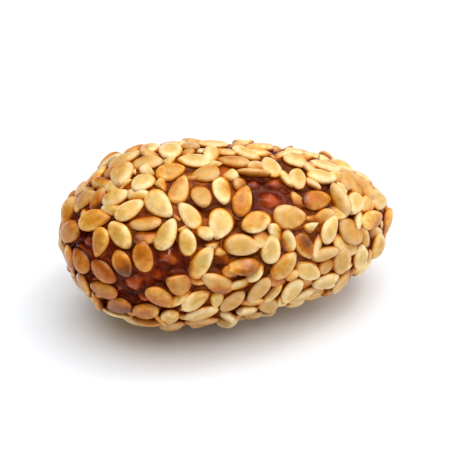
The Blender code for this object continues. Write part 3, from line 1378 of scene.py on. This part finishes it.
@dataclass(frozen=True)
class GapFilling:
    """Smaller seeds and broken ones, tucked between the whole ones.

    A gap is as far from the nearest seed as the limits say, or anywhere that the glaze drowns the seeds,
    where they also lie wider apart. None is laid where the glaze would hide it or where a drop stands.
    """

    form: AlmondForm
    syrup: Syrup
    seeds: list[LaidSeed]
    tries: int = 6000
    try_spread: tuple[float, float, float] = (1.6, 1.0, 1.0)
    drowning_depth: float = 0.22
    hiding_depth: float = 0.42
    hiding_drop: float = 0.02 * MM
    gap: tuple[float, float] = (0.08 * MM, 0.62 * MM)
    spacing: float = 1.12 * MM
    drowned_spacing: float = 2.1 * MM
    most: int = 330
    kinds: tuple[SeedKind, ...] = (
        SeedKind.WHOLE,
        SeedKind.WHOLE,
        SeedKind.POINTED_HALF,
        SeedKind.WHOLE,
        SeedKind.BLUNT_HALF,
    )
    size: tuple[float, float, float] = (2.4 * MM, 1.5 * MM, 0.78 * MM)
    size_spread: float = 0.12
    size_limit: float = 2.0
    lift: float = -0.06 * MM
    drowned_lift: float = -0.13 * MM
    tilt: float = math.radians(23)
    tilt_limit: float = 1.5
    stray: float = 0.25
    random_seed: int = 21

    def choose(self, points: Array, drowned: NDArray[np.bool_]) -> list[int]:
        """Chooses gaps that lie far enough apart, the largest first.

        Args:
            points: Points of the almond's surface.
            drowned: Whether the glaze drowns the seeds at each.

        Returns:
            The numbers of the chosen points.
        """
        gaps = distances_to_seeds(points, self.seeds)
        free = (gaps > self.gap[0]) & ((gaps < self.gap[1]) | drowned)
        chosen: list[int] = []
        for i in np.argsort(-gaps):
            room = self.drowned_spacing if drowned[i] else self.spacing
            if free[i] and all(np.linalg.norm(points[i] - points[j]) > room for j in chosen):
                chosen.append(i)
        return chosen[: self.most]

    def lay(self) -> dict[SeedKind, list[LaidSeed]]:
        """Lays a seed or a broken one in each gap, alongside the seed nearest to it.

        Returns:
            The laid seeds of each kind.
        """
        rng = np.random.default_rng(self.random_seed)
        directions = unit(rng.normal(size=(self.tries, 3)) * self.try_spread)
        points = self.form.points(directions)
        normals = self.form.normals(directions)
        depth = self.syrup.depths(points)
        drowned = depth > self.drowning_depth
        hidden = (depth > self.hiding_depth) | (self.syrup.drop_heights(points) > self.hiding_drop)
        middles = np.array([seed.middle for seed in self.seeds])
        laid: dict[SeedKind, list[LaidSeed]] = {kind: [] for kind in SeedKind}
        for count, i in enumerate(self.choose(points, drowned)):
            normal = Vector(normals[i])
            away = unit(points[i] - middles[np.linalg.norm(middles - points[i], axis=1).argmin()])
            heading = normal.cross(Vector(away + self.stray * rng.normal(size=3))).normalized()
            axes = Matrix((heading, normal.cross(heading), normal)).transposed()
            tilt, pitch = self.tilt * rng.normal(size=2).clip(-self.tilt_limit, self.tilt_limit)
            turned = Matrix.Rotation(tilt, 3, "X") @ Matrix.Rotation(pitch, 3, "Y")
            spread = self.size_spread * rng.normal(size=3).clip(-self.size_limit, self.size_limit)
            lift = self.drowned_lift if drowned[i] else self.lift
            if not hidden[i]:
                seed = LaidSeed(points[i] + normals[i] * lift, axes @ turned, self.size * (1 + spread))
                laid[self.kinds[count % len(self.kinds)]].append(seed)
        return laid


# ---------------------------------------------------------------------------------------------------------
# Studio
# ---------------------------------------------------------------------------------------------------------


def direction_to(azimuth: float, elevation: float) -> Vector:
    """Way from the sweet to a place round it. Azimuth 0 is at -Y and 90 at +X; both in degrees."""
    turn, rise = math.radians(azimuth), math.radians(elevation)
    return Vector((math.sin(turn) * math.cos(rise), -math.cos(turn) * math.cos(rise), math.sin(rise)))


def look_at(
    name: str, data: bpy.types.ID, target: Vector, azimuth: float, elevation: float, distance: float
) -> bpy.types.Object:
    """Puts a light or a camera in the scene, turned to its target.

    Args:
        name: The object's name.
        data: The light or the camera.
        target: What it looks at.
        azimuth: Turn of its place round the target, in degrees.
        elevation: Height of its place, in degrees.
        distance: How far away it is.

    Returns:
        The object.
    """
    away = direction_to(azimuth, elevation)
    made = bpy.data.objects.new(name, data)
    made.location = target + away * distance
    made.rotation_euler = away.to_track_quat("Z", "Y").to_euler()
    bpy.context.scene.collection.objects.link(made)
    return made


@dataclass(frozen=True)
class SoftLight:
    """A square light panel that looks at the sweet."""

    name: str
    azimuth: float
    elevation: float
    distance: float
    side: float
    power: float

    def build(self, target: Vector) -> None:
        """Hangs the panel.

        Args:
            target: What it looks at.
        """
        data = bpy.data.lights.new(self.name, "AREA")
        data.shape = "SQUARE"
        data.size = self.side
        data.energy = self.power
        look_at(self.name, data, target, self.azimuth, self.elevation, self.distance)


@dataclass(frozen=True)
class Studio:
    """White board, soft light and the camera."""

    floor_radius: float = 0.6
    floor_corners: int = 96
    floor_finish: FloorFinish = FloorFinish()
    azimuth: float = -13
    elevation: float = 38
    camera_distance: float = 0.42
    view_width: float = 37.4 * MM
    sensor: float = 36.0
    room_by_x: Ramp = (-1.0, 1.0, (0.13, 0.69))
    lights: tuple[SoftLight, ...] = (
        SoftLight("overhead", azimuth=100, elevation=89, distance=0.6, side=0.90, power=5.6),
        SoftLight("sparkle", azimuth=98, elevation=62, distance=0.6, side=0.14, power=0.40),
        SoftLight("front_fill", azimuth=60, elevation=35, distance=0.8, side=0.7, power=0.9),
    )

    def light_room(self) -> None:
        """Lights the room round the sweet, brighter towards +X than towards -X."""
        world = bpy.data.worlds.new("studio")
        world.use_nodes = True
        sheet = NodeSheet(world.node_tree)
        way = sheet.add("ShaderNodeTexCoord", {}).outputs["Generated"]
        across = sheet.add("ShaderNodeSeparateXYZ", {0: way}).outputs["X"]
        strength = sheet.rise(across, *self.room_by_x)
        sheet.feed(world.node_tree.nodes["Background"], {"Color": (1, 1, 1, 1), "Strength": strength})
        bpy.context.scene.world = world

    def lay_floor(self, effects: Effects) -> None:
        """Lays the board that the sweet lies on.

        Args:
            effects: The shared node groups.
        """
        mesh = bmesh.new()
        bmesh.ops.create_circle(mesh, cap_ends=True, segments=self.floor_corners, radius=self.floor_radius)
        link_piece(as_mesh(mesh, "board"), self.floor_finish.make(effects))

    def place_camera(self, target: Vector) -> None:
        """Sets the camera up at the photograph's viewing angle.

        Args:
            target: What it looks at.
        """
        data = bpy.data.cameras.new("camera")
        data.sensor_width = self.sensor
        data.lens = self.sensor * self.camera_distance / self.view_width
        place = (self.azimuth, self.elevation, self.camera_distance)
        bpy.context.scene.camera = look_at("camera", data, target, *place)

    def build(self, effects: Effects) -> None:
        """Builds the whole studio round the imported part's box.

        Args:
            effects: The shared node groups.
        """
        low, high = CAD_BOX
        target = (low + high) / 2
        self.lay_floor(effects)
        for light in self.lights:
            light.build(target)
        self.light_room()
        bpy.context.scene.view_settings.view_transform = "Standard"
        self.place_camera(target)


def main() -> None:
    """Builds the glaze, the seeds and the studio in order."""
    logging.basicConfig(level=logging.INFO, format="%(name)s: %(message)s")
    effects = Effects()
    form = AlmondForm()
    seeds = SeedLayout(form).lay()
    syrup = Syrup(form)
    filling = GapFilling(form, syrup, seeds).lay()
    seed_material = SeedFinish().make(effects)
    pieces = [
        SugarGlaze(form, syrup, seeds + sum(filling.values(), [])).build(effects),
        SeedPiece("sesame_seeds", form, syrup, seeds).build(seed_material),
    ]
    for kind, laid in filling.items():
        tucked = SeedPiece(f"tucked_{kind.name.lower()}", form, syrup, laid, kind)
        pieces.append(tucked.build(seed_material))
        log.info("%s: %d tucked seeds", tucked.name, len(laid))
    Studio().build(effects)
    for piece in pieces:
        log.info("%s: %d faces before its modifiers", piece.name, len(piece.data.polygons))


if __name__ == "__main__":
    main()
